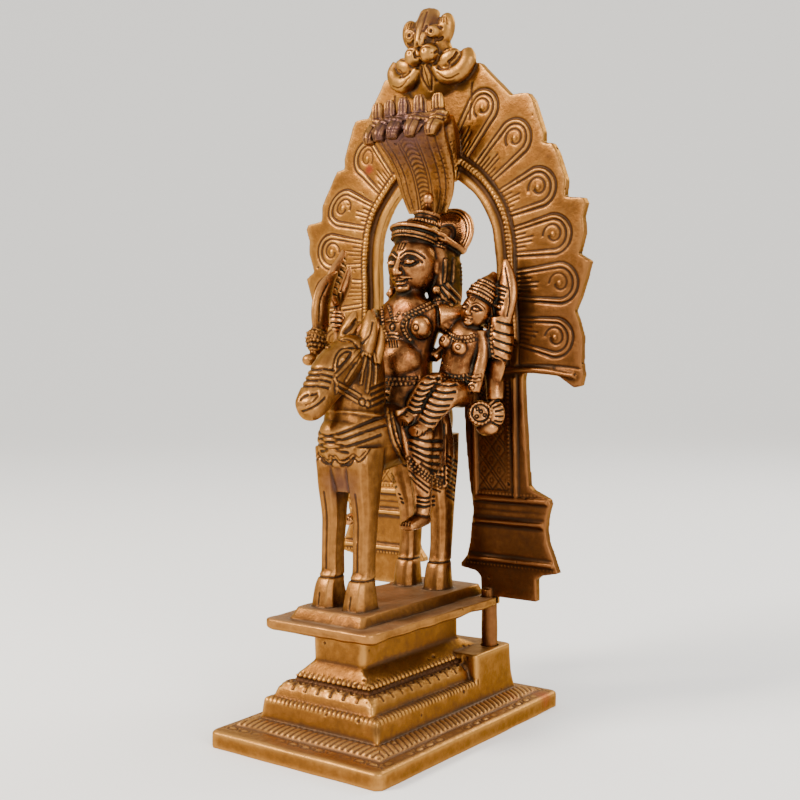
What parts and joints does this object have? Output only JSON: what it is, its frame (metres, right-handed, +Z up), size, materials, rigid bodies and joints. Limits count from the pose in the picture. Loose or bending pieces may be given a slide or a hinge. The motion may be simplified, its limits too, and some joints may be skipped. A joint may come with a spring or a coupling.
{
  "type": "khandoba statue",
  "caption": "Antique cast brass shrine statue: rider and consort on a horse under a scalloped arch with serpent hood and lion mask, on a stepped plinth",
  "frame": {"origin": "the middle of the plinth's underside", "axes": "+Z is up, -Y is the statue's front, +X is the statue's left side"},
  "size_m": [0.1184, 0.102, 0.2395],
  "materials": {
    "plinth_brass": "aged cast brass, worn golden edges, brown patina in the carving",
    "figure_brass": "copper-gold high points over a brown-black patina",
    "arch_brass": "aged golden brass, darker legs, purplish brown serpent heads"
  },
  "bodies": {
    "root": {"plinth": "plinth_brass", "rider_group": "figure_brass", "arch": "arch_brass"}
  },
  "joints": []
}
